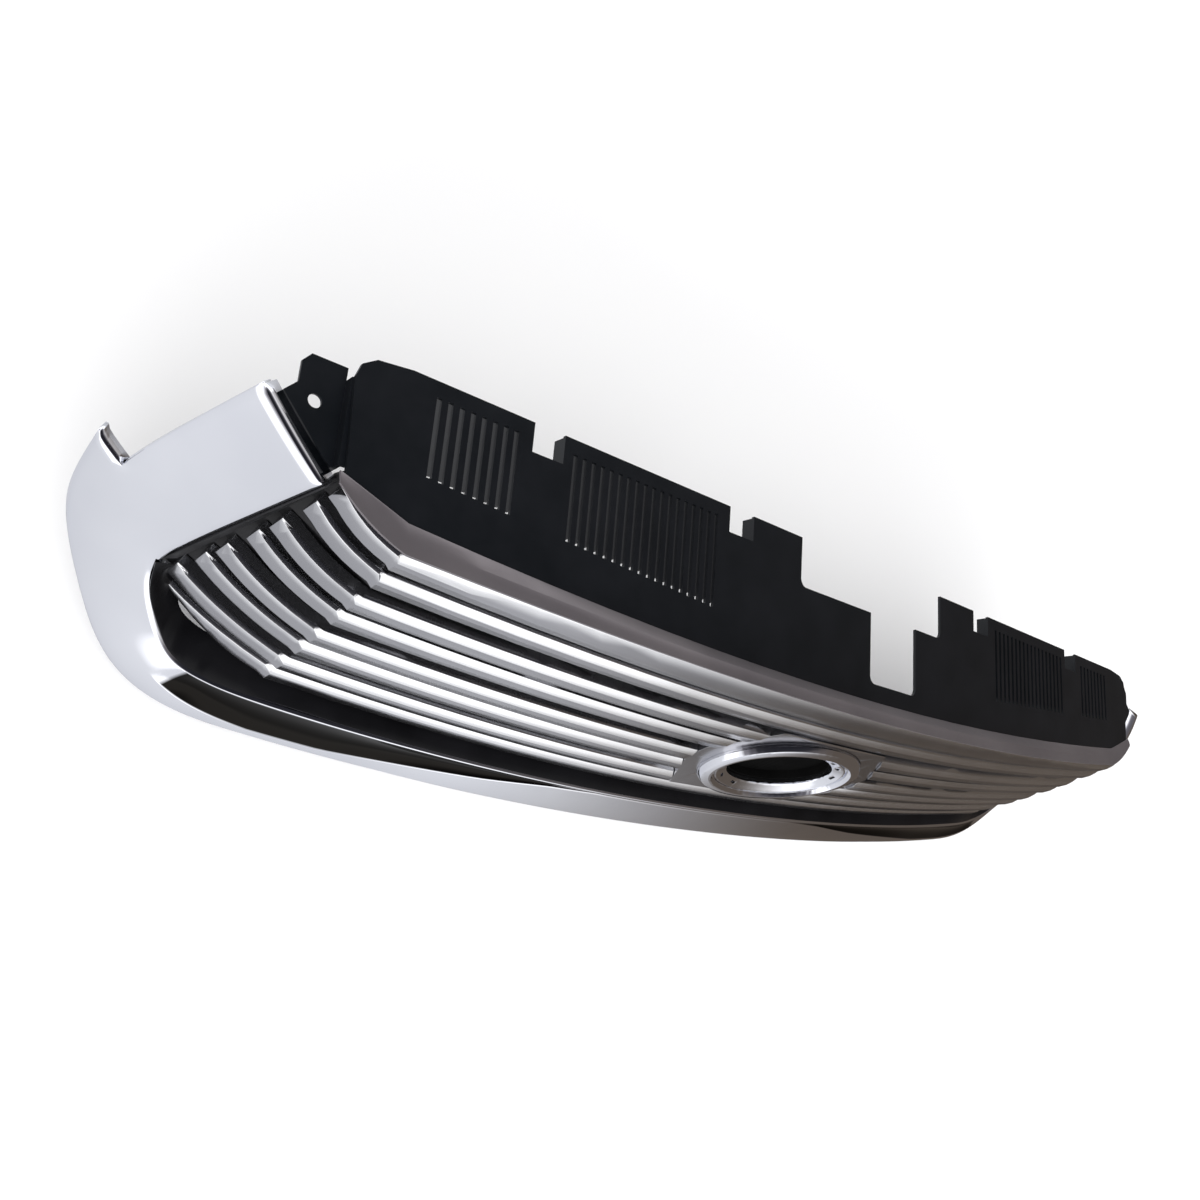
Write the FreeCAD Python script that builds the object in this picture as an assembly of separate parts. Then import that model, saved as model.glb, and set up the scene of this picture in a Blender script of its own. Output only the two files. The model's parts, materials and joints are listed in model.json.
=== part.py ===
import FreeCAD, Part
import math
import os

# Car front grille: black sight shield, bright slats in pairs, oval badge bezel and a bright
# surround with swept wings.  Millimetres, X to the car's side, Y towards the car's rear, Z up.
# Shapes are laid out from the middle of the sight shield's rear edge.  On saving, each one is
# moved so that the origin is midway between the bolt holes of the two side tabs.

os.makedirs("parts", exist_ok=True)

# ---- driving dimensions ----
TAB_HOLE_X = 523.0          # half the distance between the side tab bolt holes
TAB_HOLE_Y = -37.0
TAB_TOP_Z = -10.0
TAB_HOLE_R = 4.2

KINK_X = 460.0              # slats turn rearward here
MITRE_DEG = 20.0            # direction of the mitre plane at that corner
RIDGE_Z = -5.8              # ridge of the top slat, at the corner
RIDGE_Y = -117.1
PAIR_PITCH = 46.6
IN_PAIR_PITCH = 19.6
SLAT_COUNT = 8
RAKE = 0.40                 # forward travel per millimetre down, easing off by RAKE_EASE
RAKE_EASE = 0.00055
BOW = 27.8                  # forward bow of the top slat between corner and centre
BOW_GAIN = 0.013            # extra bow per millimetre down
FAN_TOP = 5.0               # rise of the top slat at the centre
FAN_DROP = 0.082            # loss of that rise per millimetre down
CROWN = 12.0                # extra height of the top slat's upper facet at the centre

SLAT_TOP = 5.6              # ridge to upper edge
SLAT_BOTTOM = 9.4           # ridge to lower edge
SLAT_SET_BACK = 4.4         # upper edge behind ridge
SLAT_LEAN = 2.2             # lower edge ahead of ridge
SLAT_BACK = 11.8            # depth of the channel behind the ridge
SLAT_WALL = 2.0
TOP_WALL_SHORT = 3.0        # depth of the top slat's upper wall
SIDE_REACH = 45.0           # outward and rearward run of the top slat's side section
SIDE_SWEEP = 29.0
SIDE_BOW = 3.0              # outward bow of a slat's side section
SIDE_BOW_SKEW = 0.10        # the bow is stronger towards the slat's end
LAST_TAPER = ((0.38, 1.0), (0.70, 0.62), (1.0, 0.16))   # lowest slat: share of side, height
SIDE_RIDGE = (-1.8, 4.5)    # ridge of the side section, from the ridge line of the front
SIDE_FOOT = (1.7, -6.4)     # lower edge of the side section, from the same line
STEP_SHARE = 0.09           # share of the side run in which one profile turns into the other
HIP_RIDGE = -3.8            # ridge and foot of the hipped end
HIP_FOOT = 0.6
SIDE_SHARES = (STEP_SHARE, 0.38, 0.70, 1.0)
HIP = 8.0                   # length of the sloped end of a slat's ridge

CARRIER_FRONT = 12.8
CARRIER_WALL = 2.6

PANEL_T = 2.5
PANEL_END_X = 506.0
PANEL_REAR_X = 470.0        # half the straight part of the sight shield's rear edge
PANEL_FRONT_Y = -118.9      # front edge of the sight shield, at the centre
PANEL_FRONT_BOW = 25.5

RING_Z = -99.5              # badge bezel centre
RING_Y = -175.5
RING_TILT = 17.0
RING_HALF_W = 90.0
RING_HALF_H = 61.2
OVAL_HALF_W = 61.6
OVAL_HALF_H = 36.0

SIDES = ((-1, "left"), (1, "right"))
FRACTIONS = [-1.0, -0.8, -0.55, -0.28, 0.0, 0.28, 0.55, 0.8, 1.0]


# ---- helpers ----
def vec(x, y, z):
    return FreeCAD.Vector(x, y, z)


def closed(points):
    return Part.makePolygon(points + [points[0]])


def loft(sections, ruled):
    return Part.makeLoft([closed(s) for s in sections], True, ruled)


def joined(shapes):
    whole = shapes[0].fuse(shapes[1:])
    return whole.removeSplitter()


def biggest(shape):
    """The largest solid, without any crumbs that a trim leaves."""
    return max(shape.Solids, key=lambda solid: solid.Volume)


def mirrored(shape):
    return shape.mirror(vec(0, 0, 0), vec(1, 0, 0))


def on_side(shape, side):
    """Shapes are drawn at negative X; the other side is their mirror image."""
    if side < 0:
        return shape
    return mirrored(shape)


def prism(points, z_low, z_high):
    """Upright prism over a list of (x, y) corners."""
    face = Part.Face(closed([vec(x, y, z_low) for x, y in points]))
    return face.extrude(vec(0, 0, z_high - z_low))


def box(x, y, z):
    """Box from three (low, high) pairs."""
    return Part.makeBox(x[1] - x[0], y[1] - y[0], z[1] - z[0], vec(x[0], y[0], z[0]))


def cylinder(radius, start, direction, length):
    return Part.makeCylinder(radius, length, start, direction)


def save(name, shape):
    placed = shape.copy()
    placed.translate(vec(0, -TAB_HOLE_Y, -TAB_TOP_Z))
    state = "ok" if placed.isValid() else "INVALID"
    b = placed.BoundBox
    print("%-24s %-7s solids %2d  %8.1f cm3  x %.0f..%.0f y %.0f..%.0f z %.0f..%.0f" % (
        name, state, len(placed.Solids), placed.Volume / 1000.0,
        b.XMin, b.XMax, b.YMin, b.YMax, b.ZMin, b.ZMax))
    placed.exportStep("parts/" + name + ".step")


# ---- the bowed, raked face that the slats follow ----
def drop_of(index):
    """Height of a slat's ridge below the top slat's ridge, at the corner."""
    return PAIR_PITCH * (index // 2) + IN_PAIR_PITCH * (index % 2)


def corner_point(drop):
    return vec(-KINK_X, RIDGE_Y - RAKE * drop + RAKE_EASE * drop ** 2, RIDGE_Z - drop)


def face_point(drop, fraction):
    """Ridge point between the centre (0) and a corner (1 or -1)."""
    corner = corner_point(drop)
    rest = 1.0 - fraction ** 2
    bow = BOW + BOW_GAIN * drop
    rise = FAN_TOP - FAN_DROP * drop
    return vec(KINK_X * fraction, corner.y - bow * rest, corner.z + rise * rest)


def face_forward(drop, fraction):
    if abs(fraction) == 1.0:
        angle = math.radians(MITRE_DEG)
    else:
        angle = math.atan(2.0 * (BOW + BOW_GAIN * drop) / KINK_X * abs(fraction))
    return vec(math.copysign(math.sin(angle), fraction), -math.cos(angle), 0)


def tip_point(drop):
    """Ridge point at the outer end of the left side section."""
    corner = corner_point(drop)
    return vec(corner.x - SIDE_REACH - 0.27 * drop, corner.y + SIDE_SWEEP + 0.115 * drop, corner.z)


def side_forward(drop):
    run = corner_point(drop) - tip_point(drop)
    return vec(run.y, -run.x, 0).normalize()


def placed_section(origin, forward, profile):
    """Profile points are (forward offset, height)."""
    return [origin + forward * f + vec(0, 0, dz) for f, dz in profile]


# ---- slats ----
def slat_profile(index, rest):
    """Outer five-cornered profile of the front; rest is 1 at the centre and 0 at the corners."""
    top = SLAT_TOP + (CROWN * rest if index == 0 else 0.0)
    return [(top_wall_back(index), top), (-SLAT_SET_BACK, top), (0.0, 0.0),
            (SLAT_LEAN, -SLAT_BOTTOM), (-SLAT_BACK, -SLAT_BOTTOM)]


def side_profile(index, height, hip):
    """Outer profile of the side section; a hip carries the ridge back to the upper edge."""
    ridge_f, ridge_z = SIDE_RIDGE
    foot_f, foot_z = SIDE_FOOT
    drop = (foot_z - ridge_z) * height
    foot_f = ridge_f + (foot_f - ridge_f) * height
    if hip:
        ridge_f, foot_f = HIP_RIDGE, HIP_FOOT
    return [(top_wall_back(index), SLAT_TOP), (-SLAT_SET_BACK, SLAT_TOP), (ridge_f, ridge_z),
            (foot_f, ridge_z + drop), (-SLAT_BACK, ridge_z + drop)]


def top_wall_back(index):
    """The top slat's upper wall stops short, because the top rail dips behind it."""
    return -SLAT_SET_BACK - TOP_WALL_SHORT if index == 0 else -SLAT_BACK


def hollow_profile(index, rest):
    """Inside of the front's channel; it runs out through the back."""
    top = SLAT_TOP + (CROWN * rest if index == 0 else 0.0) - SLAT_WALL
    back = -SLAT_BACK - 1.0
    floor = -SLAT_BOTTOM + SLAT_WALL
    return [(top_wall_back(index) - 1.0, top), (-SLAT_SET_BACK - 0.6, top), (-2.4, -0.2 * SLAT_WALL),
            (SLAT_LEAN - SLAT_WALL, floor), (back, floor)]


def centre_run(index, profile_at):
    drop = drop_of(index)
    sections = []
    for fraction in FRACTIONS:
        rest = 1.0 - fraction ** 2
        sections.append(placed_section(face_point(drop, fraction),
                                       face_forward(drop, fraction), profile_at(rest)))
    return loft(sections, False)


def left_side_point(drop, short_of_tip):
    tip = tip_point(drop)
    run = (corner_point(drop) - tip).normalize()
    return tip + run * short_of_tip


def side_bow(drop, share):
    """Offset of a side section from the straight line between its corner and its end."""
    skew = 1.0 + SIDE_BOW_SKEW * (2.0 * share - 1.0)
    return side_forward(drop) * (4.0 * SIDE_BOW * share * (1.0 - share) * skew)


def side_height(index, share):
    """The lowest slat thins out towards its end; the others keep their height."""
    if index < SLAT_COUNT - 1:
        return 1.0
    for (s0, h0), (s1, h1) in zip(LAST_TAPER, LAST_TAPER[1:]):
        if share <= s1:
            return h0 + (h1 - h0) * max(0.0, share - s0) / (s1 - s0)
    return LAST_TAPER[-1][1]


def side_section(index, share, hip):
    drop = drop_of(index)
    corner = face_point(drop, -1.0)
    last = left_side_point(drop, 0.0 if hip else HIP)
    place = corner + (last - corner) * share + side_bow(drop, share)
    return placed_section(place, side_forward(drop), side_profile(index, side_height(index, share), hip))


def slat_shape(index):
    drop = drop_of(index)
    mitre = placed_section(face_point(drop, -1.0), face_forward(drop, -1.0), slat_profile(index, 0.0))
    step = loft([mitre, side_section(index, STEP_SHARE, False)], True)
    run = loft([side_section(index, share, False) for share in SIDE_SHARES], False)
    hip = loft([side_section(index, 1.0, False), side_section(index, 1.0, True)], True)
    middle = centre_run(index, lambda rest: slat_profile(index, rest))
    body = joined([middle] + [part for left in (step, run, hip) for part in (left, mirrored(left))])
    return body.cut(centre_run(index, lambda rest: hollow_profile(index, rest)))


# ---- badge area ----
def ring_frame(shape):
    """Shapes drawn about the origin with their axis along Z go to the badge's place."""
    placed = shape.copy()
    placed.rotate(vec(0, 0, 0), vec(1, 0, 0), 90.0 - RING_TILT)
    placed.translate(vec(0, RING_Y, RING_Z))
    return placed


def oval(half_w, half_h, low, high):
    edge = Part.Ellipse(vec(0, 0, low), half_w, half_h).toShape()
    return Part.Face(Part.Wire(edge)).extrude(vec(0, 0, high - low))


def web_outline(grow, low, high):
    corners = [(-72, 66), (72, 66), (112, 14), (112, -10), (78, -66), (-78, -66), (-112, -10), (-112, 14)]
    length = 90.0
    points = [vec(x + grow * x / length, y + grow * y / length, low) for x, y in corners]
    return Part.Face(closed(points)).extrude(vec(0, 0, high - low))


def ring_solid():
    """Bezel: a rounded outer band, a groove and a sloped inner band."""
    outer = loft_ovals([(RING_HALF_W, RING_HALF_H, -8.0), (RING_HALF_W, RING_HALF_H, 1.5),
                        (RING_HALF_W - 2.5, RING_HALF_H - 2.5, 5.5),
                        (RING_HALF_W - 9.0, RING_HALF_H - 9.0, 7.0)])
    bore = loft_ovals([(OVAL_HALF_W, OVAL_HALF_H, -9.0), (OVAL_HALF_W, OVAL_HALF_H, -1.0),
                       (OVAL_HALF_W + 10.0, OVAL_HALF_H + 10.0, 3.2),
                       (OVAL_HALF_W + 14.5, OVAL_HALF_H + 13.0, 3.6),
                       (OVAL_HALF_W + 17.5, OVAL_HALF_H + 15.5, 8.0)])
    return outer.cut(bore)


def loft_ovals(rows):
    wires = []
    for half_w, half_h, z in rows:
        wires.append(Part.Wire(Part.Ellipse(vec(0, 0, z), half_w, half_h).toShape()))
    return Part.makeLoft(wires, True, True)


ring = ring_solid()
groove = oval(OVAL_HALF_W + 13.6, OVAL_HALF_H + 12.2, 1.0, 4.2)
groove = groove.cut(oval(OVAL_HALF_W + 12.0, OVAL_HALF_H + 10.8, 0.5, 4.6))
ring = ring.cut(groove)
RING_CLIP_SLOTS = (12.0, 42.0, 62.0, 118.0, 222.0, 250.0)
for degrees in RING_CLIP_SLOTS:
    angle = math.radians(degrees)
    slot = box((-3.5, 3.5), (-1.2, 1.2), (-3.0, 6.0))
    slot.rotate(vec(0, 0, 0), vec(0, 0, 1), degrees + 90.0)
    slot.translate(vec((OVAL_HALF_W + 5.0) * math.cos(angle), (OVAL_HALF_H + 5.0) * math.sin(angle), 0))
    ring = ring.cut(slot)

WEB_BACK = -11.0
web = web_outline(0.0, WEB_BACK, -1.0)
web = web.cut(oval(RING_HALF_W + 0.3, RING_HALF_H + 0.3, -8.6, 0.0))
web = web.cut(oval(OVAL_HALF_W + 1.0, OVAL_HALF_H + 1.0, WEB_BACK - 1.0, 0.0))
cup = oval(OVAL_HALF_W - 0.3, OVAL_HALF_H - 0.3, -16.0, -6.0)
cup = cup.cut(oval(OVAL_HALF_W - 2.3, OVAL_HALF_H - 2.3, -14.0, -5.0))
cup_flange = oval(OVAL_HALF_W + 8.0, OVAL_HALF_H + 8.0, -16.0, WEB_BACK - 0.3)
cup_flange = cup_flange.cut(oval(OVAL_HALF_W - 1.3, OVAL_HALF_H - 1.3, -17.0, -5.0))
cup = cup.fuse(cup_flange).removeSplitter()

STUD_X = 76.0
STUD_R = 2.5
studs = []
nuts = []
for sx in (-1, 1):
    studs.append(cylinder(STUD_R, vec(sx * STUD_X, 0, -24.0), vec(0, 0, 1), 16.5))
    plate = box((-8.0, 8.0), (-8.0, 8.0), (0.0, 1.2))
    plate = plate.fuse(cylinder(5.0, vec(0, 0, -3.5), vec(0, 0, 1), 3.6))
    plate = plate.cut(cylinder(STUD_R + 0.05, vec(0, 0, -5.0), vec(0, 0, 1), 10.0))
    plate.translate(vec(sx * STUD_X, 0, -18.0))
    nuts.append(plate)
web = web.cut([cylinder(STUD_R + 0.6, vec(sx * STUD_X, 0, -30.0), vec(0, 0, 1), 40.0) for sx in (-1, 1)])
ring = ring.fuse(studs).removeSplitter()

save("emblem_ring", ring_frame(ring))
save("emblem_web", ring_frame(web))
save("emblem_cup", ring_frame(cup))
save("emblem_nuts", ring_frame(Part.makeCompound(nuts)))

# ---- sight shield: flat panel with louvres, clip notches and a stepped latch opening ----
LOUVRE_BAR_DEPTH = 9.0
LOUVRE_SLOT_W = 3.6
BAR_HALF_T = 1.1
BAR_OVERRUN = 6.0           # the bars under the louvres run on behind the slots
LOUVRE_REAR_Y = -10.5
# each group: first slot, last slot, number of slots, front end at the first and at the last slot
LOUVRE_GROUPS = ((393.0, 451.0, 8, -67.5, -62.5), (206.0, 344.0, 18, -83.0, -72.0))
NOTCHES = ((354.0, 379.5), (163.5, 191.0))
NOTCH_DEPTH = 20.5
NOTCH_WALL_DROP = 12.0
STEP_HALF_W = 103.5
STEP_DEPTH = 41.5
LATCH_X = (-7.0, 62.0)
LATCH_DEPTH = 103.5
CORNER_R = 7.0


def panel_front_y(x):
    return PANEL_FRONT_Y + PANEL_FRONT_BOW * (x / KINK_X) ** 2


def panel_outline(low, high):
    half = [(-PANEL_END_X + 12.0, -3.0), (-PANEL_END_X + 3.0, -9.0), (-PANEL_END_X, -18.0),
            (-PANEL_END_X + 4.0, -84.0), (-KINK_X, panel_front_y(KINK_X))]
    rear = Part.makePolygon([vec(-PANEL_REAR_X, 0, low)] + [vec(x, y, low) for x, y in half])
    front = Part.BSplineCurve()
    front.interpolate([vec(x, panel_front_y(x), low) for x in (-460, -300, -150, 0, 150, 300, 460)])
    other = Part.makePolygon([vec(-x, y, low) for x, y in reversed(half)] + [vec(PANEL_REAR_X, 0, low)])
    back = Part.makePolygon([vec(PANEL_REAR_X, 0, low), vec(-PANEL_REAR_X, 0, low)])
    outline = Part.Wire(rear.Edges + [front.toShape()] + other.Edges + back.Edges)
    return Part.Face(outline).extrude(vec(0, 0, high - low))


def rounded_cut(x, y):
    block = box(x, y, (-30.0, 10.0))
    upright = [e for e in block.Edges if abs(e.tangentAt(0).z) > 0.9 and e.CenterOfMass.y < y[1] - 1.0]
    return block.makeFillet(CORNER_R, upright)


def louvre_slots(first, last, count, front_first, front_last):
    slots = []
    pads = []
    for step in range(count):
        share = step / (count - 1.0)
        x = first + (last - first) * share
        front = front_first + (front_last - front_first) * share
        width = (x - LOUVRE_SLOT_W / 2, x + LOUVRE_SLOT_W / 2)
        slots.append(box(width, (front, LOUVRE_REAR_Y), (-30.0, 5.0)))
    for step in range(count + 1):
        share = (step - 0.5) / (count - 1.0)
        x = first + (last - first) * share
        front = front_first + (front_last - front_first) * share + 5.0
        pads.append(box((x - BAR_HALF_T, x + BAR_HALF_T), (front, LOUVRE_REAR_Y + BAR_OVERRUN),
                        (-LOUVRE_BAR_DEPTH, -PANEL_T + 0.5)))
    return slots, pads


panel = panel_outline(-PANEL_T, 0.0)
extra = []
cuts = []
for first, last, count, front_first, front_last in LOUVRE_GROUPS:
    slots, pads = louvre_slots(first, last, count, front_first, front_last)
    cuts += slots + [mirrored(s) for s in slots]
    extra += pads + [mirrored(p) for p in pads]
for low, high in NOTCHES:
    for sign in (-1, 1):
        span = tuple(sorted((sign * low, sign * high)))
        cuts.append(box(span, (-NOTCH_DEPTH, 5.0), (-30.0, 5.0)))
        wall = box((span[0] - 2.0, span[1] + 2.0), (-NOTCH_DEPTH - 2.0, -1.0), (-NOTCH_WALL_DROP, -1.0))
        extra.append(wall)
cuts.append(rounded_cut((-STEP_HALF_W, STEP_HALF_W), (-STEP_DEPTH, 12.0)))
cuts.append(rounded_cut(LATCH_X, (-LATCH_DEPTH, -STEP_DEPTH + 20.0)))
panel = panel.fuse(extra)
panel = panel.cut(cuts).removeSplitter()
SCREW_R = 1.6
BOSS_R = 4.0
TAB_T = 2.2
SHELF_TOP = -PANEL_T - 0.05
PANEL_SCREWS = [(-496.0, -28.0), (-494.0, -64.0), (496.0, -28.0), (494.0, -64.0)]
BLIND_END = -1.1            # the screw holes stop under the panel's top face
bosses = [cylinder(BOSS_R, vec(x, y, -PANEL_T + 0.5), vec(0, 0, -1), TAB_T + 0.4) for x, y in PANEL_SCREWS]
panel = panel.fuse(bosses).removeSplitter()
screw_holes = [cylinder(SCREW_R + 0.05, vec(x, y, BLIND_END), vec(0, 0, -1), 20.0) for x, y in PANEL_SCREWS]
panel = panel.cut(screw_holes)
save("sight_shield", panel)

# ---- side tabs: folded brackets under the ends of the sight shield ----
TAB_WALL_X = PANEL_END_X + 0.6
TAB_FRONT_Y = -72.0
TAB_WALL_FOOT = -34.0
tab_plate = [(-TAB_WALL_X - 2.2, -10.0), (-529.0, -10.0), (-534.0, -16.0), (-534.0, -29.0), (-541.5, -37.0),
             (-512.0, -69.0), (-TAB_WALL_X - 1.0, TAB_FRONT_Y), (-TAB_WALL_X, TAB_FRONT_Y),
             (-TAB_WALL_X, -10.0)]
SHELF_OUTER_X = -TAB_WALL_X + 0.2
SHELF_INNER_X = -486.0
SHELF_REAR_Y = -18.0
tab_shelf = [(SHELF_OUTER_X, SHELF_REAR_Y), (SHELF_OUTER_X, TAB_FRONT_Y), (SHELF_INNER_X, TAB_FRONT_Y),
             (SHELF_INNER_X, SHELF_REAR_Y)]
for side, word in SIDES:
    tab = prism(tab_plate, TAB_TOP_Z - TAB_T, TAB_TOP_Z)
    wall = box((-TAB_WALL_X - 0.1, -TAB_WALL_X + TAB_T), (TAB_FRONT_Y, SHELF_REAR_Y), (TAB_WALL_FOOT, SHELF_TOP))
    tab = tab.fuse([prism(tab_shelf, SHELF_TOP - TAB_T, SHELF_TOP), wall]).removeSplitter()
    tab = tab.cut(cylinder(TAB_HOLE_R, vec(-TAB_HOLE_X, TAB_HOLE_Y, -40), vec(0, 0, 1), 60.0))
    holes = [cylinder(BOSS_R + 0.3, vec(x, y, -20), vec(0, 0, 1), 40.0) for x, y in PANEL_SCREWS if x < 0]
    save("side_tab_" + word, on_side(tab.cut(holes), side))

HEAD_R = 6.0
HEAD_H = 2.2
SCREW_LENGTH = 3.2
screws = []
for x, y in PANEL_SCREWS:
    seat = vec(x, y, SHELF_TOP - TAB_T - 0.02)
    shank = cylinder(SCREW_R, seat, vec(0, 0, 1), SCREW_LENGTH)
    head = cylinder(HEAD_R, seat, vec(0, 0, -1), HEAD_H)
    corners = [vec(x + 2.0 * math.cos(a), y + 2.0 * math.sin(a), seat.z - HEAD_H - 1.0)
               for a in [math.radians(60 * n) for n in range(7)]]
    socket = Part.Face(Part.makePolygon(corners)).extrude(vec(0, 0, 2.2))
    screws.append(shank.fuse(head).cut(socket).removeSplitter())
save("tab_screws", Part.makeCompound(screws))

# ---- top rail: gloss strip between the sight shield and the top slat ----
RAIL_T = 1.8


def rail_corners(edge, rear, shoulder):
    up = vec(0, 0, RAIL_T)
    foot = rear + vec(0, 0, 0.6)
    crest = edge + up
    belly = vec(edge.x, foot.y + (crest.y - foot.y) * 0.5, foot.z + (crest.z - foot.z) * 0.72)
    return [foot, belly, crest, edge, shoulder, belly - up - vec(0, 0.5, 0), foot - up - up * 0.2]


def rail_section(fraction):
    rest = 1.0 - fraction ** 2
    ridge = face_point(0.0, fraction)
    edge = ridge + vec(0, SLAT_SET_BACK, SLAT_TOP + CROWN * rest + 0.3)
    shoulder = edge + vec(0, 3.0, 0)
    rear = vec(ridge.x, panel_front_y(ridge.x) - 0.3, 0.0)
    return rail_corners(edge, rear, shoulder)


def rail_tip():
    tip = tip_point(0.0)
    edge = vec(tip.x - 1.0, tip.y + SLAT_SET_BACK - 0.2, tip.z + SLAT_TOP + 1.1)
    return rail_corners(edge, vec(edge.x, edge.y + 8.0, 0.0), edge + vec(0, 2.5, 0))


def rail_middle():
    """Section halfway along the side, where the top slat bows outwards."""
    near = rail_section(-1.0)
    far = rail_tip()
    bow = side_bow(0.0, 0.5)
    shares = (0.0, 0.5, 1.0, 1.0, 1.0, 0.5, 0.0)
    return [(a + b) * 0.5 + bow * share for a, b, share in zip(near, far, shares)]


rail_left = loft([rail_section(-1.0), rail_middle(), rail_tip()], False)
rail = joined([loft([rail_section(f) for f in FRACTIONS], False), rail_left, mirrored(rail_left)])
rail = biggest(rail.cut(panel_outline(-PANEL_T - 0.3, 0.3)))
save("top_rail", rail)


# ---- slats: the third to seventh are interrupted by the badge ----
FIRST_CUT = 2
LAST_CUT = 6
badge_gap = ring_frame(web_outline(0.5, -60.0, 60.0))
slats = []
for index in range(SLAT_COUNT):
    slat = slat_shape(index)
    if index == 0:
        slat = biggest(slat.cut([panel_outline(-PANEL_T - 0.3, 0.3), rail]))
    slats.append(slat)
    if FIRST_CUT <= index <= LAST_CUT:
        halves = slat.cut(badge_gap)
        for piece in halves.Solids:
            side = "left" if piece.CenterOfMass.x < 0 else "right"
            save("slat_%d_%s" % (index + 1, side), piece)
    else:
        save("slat_%d" % (index + 1), slat)

# ---- carrier: stepped sheet that backs every slat ----
CARRIER_KINK_X = KINK_X - CARRIER_FRONT * math.sin(math.radians(MITRE_DEG))
CARRIER_OUT_X = 600.0
CARRIER_HEAD_DROP = 4.4     # the carrier's top edge stays under the sight shield
SLATS_ALL = [drop_of(index) for index in range(SLAT_COUNT)]


def carrier_rows(point_at, depth):
    rows = []
    for drop in SLATS_ALL:
        point = point_at(drop) + vec(0, depth, 0)
        head = SLAT_TOP if drop > 0.0 else SLAT_TOP - CARRIER_HEAD_DROP
        rows.append(point + vec(0, 0, head))
        rows.append(point + vec(0, 0, -SLAT_BOTTOM))
    return rows


def carrier_section(point_at, depth):
    front = carrier_rows(point_at, depth)
    rear = carrier_rows(point_at, depth + CARRIER_WALL)
    foot = vec(0, 0, -3.0)
    return front + [front[-1] + foot, rear[-1] + foot] + list(reversed(rear))


def carrier_kink(drop):
    corner = corner_point(drop)
    return vec(-CARRIER_KINK_X, corner.y, corner.z)


def carrier_far(drop):
    corner = corner_point(drop)
    run = tip_point(drop) - corner
    reach = (CARRIER_OUT_X - CARRIER_KINK_X) / -run.x
    return vec(-CARRIER_OUT_X, corner.y + run.y * reach, corner.z)


def end_tool(inset, thickness):
    """Slab outside the plane through the slats' outer ends."""
    top = tip_point(-60.0) + vec(-inset, 0, 0)
    low = tip_point(260.0) + vec(-inset, 0, 0)
    across = side_forward(80.0) * 150.0
    face = Part.Face(closed([top + across, top - across, low - across, low + across]))
    return face.extrude(vec(-thickness, 0, 0))


corner_depth = CARRIER_FRONT * math.cos(math.radians(MITRE_DEG))
side_sections = [carrier_section(point_at, corner_depth) for point_at in (carrier_kink, carrier_far)]
carrier_left = loft(side_sections, True)
carrier_left = carrier_left.cut(end_tool(0.0, 200.0))
centre_sections = [carrier_section(carrier_kink, corner_depth)]
for fraction in FRACTIONS[1:-1]:
    slope = 2.0 * BOW / KINK_X * fraction
    depth = CARRIER_FRONT * math.sqrt(1.0 + slope ** 2) + 0.3
    centre_sections.append(carrier_section(lambda drop, f=fraction: face_point(drop, f), depth))
centre_sections.append([vec(-p.x, p.y, p.z) for p in centre_sections[0]])
carrier = joined([loft(centre_sections, False), carrier_left, mirrored(carrier_left)])
carrier = carrier.cut(ring_frame(oval(OVAL_HALF_W + 24.0, OVAL_HALF_H + 14.0, -60.0, 60.0)))
carrier = carrier.cut(ring_frame(web_outline(1.0, WEB_BACK - 0.5, 30.0)))
save("carrier", carrier)

# ---- bright surround: a band from wing to wing under the slats ----
# Each row gives the band's inner and outer edge on the left, from the wing's top to the centre.
WING_ROWS = [((-512, -85, -8.5), (-553, -39, -7.5)), ((-530, -97, -65), (-573, -55, -56))]
WING_JOIN_INNER = (-549, -110, -125)
WING_FIN_TIP = (-611, -60, -101)
WING_JOIN_SHARE = 0.72      # the wing above the fin is this much narrower
BAND_ROWS = [((-556, -117, -142), (-613, -78, -152)), ((-552, -129, -157), (-604, -97, -178)),
             ((-543, -142, -170), (-585, -125, -202)), ((-530, -156, -184), (-566, -157, -215)),
             ((-513, -169, -193), (-541, -180, -225)), ((-488, -177.5, -195), (-505, -197, -228)),
             ((-455, -183.5, -191), (-455, -204.5, -228.5)), ((-380, -193, -192), (-380, -213, -231)),
             ((-270, -203, -194), (-270, -223, -235)), ((-135, -210, -196), (-135, -230, -238)),
             ((0, -212, -197), (0, -232, -239))]
BAND_T = 2.6
WING_GAP = 0.15
BAND_BULGE = 3.0
BAND_RETURN = 9.0


def spline(points):
    curve = Part.BSplineCurve()
    curve.interpolate(points)
    return curve.toShape()


def band_normal(inner, outer, onward):
    return (outer - inner).cross(onward).normalize()


def band_wire(inner, outer, normal, bulge):
    """Channel section: a crowned face with a return flange along each edge."""
    across = outer - inner
    width = across.Length
    across.normalize()

    def at(a, b):
        return inner + across * a + normal * b

    arch = [(0.0, 0.0), (0.25, 0.75), (0.5, 1.0), (0.75, 0.75), (1.0, 0.0)]
    clear = width - 2.0 * BAND_T
    front = spline([at(width * a, bulge * b) for a, b in arch])
    back = spline([at(BAND_T + clear * (1.0 - a), bulge * b - BAND_T) for a, b in arch])
    rim = Part.makePolygon([at(width, 0), at(width, -BAND_RETURN), at(width - BAND_T, -BAND_RETURN),
                            at(width - BAND_T, -BAND_T)])
    lip = Part.makePolygon([at(BAND_T, -BAND_T), at(BAND_T, -BAND_RETURN), at(0, -BAND_RETURN), at(0, 0)])
    return Part.Wire([front] + rim.Edges + [back] + lip.Edges)


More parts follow.
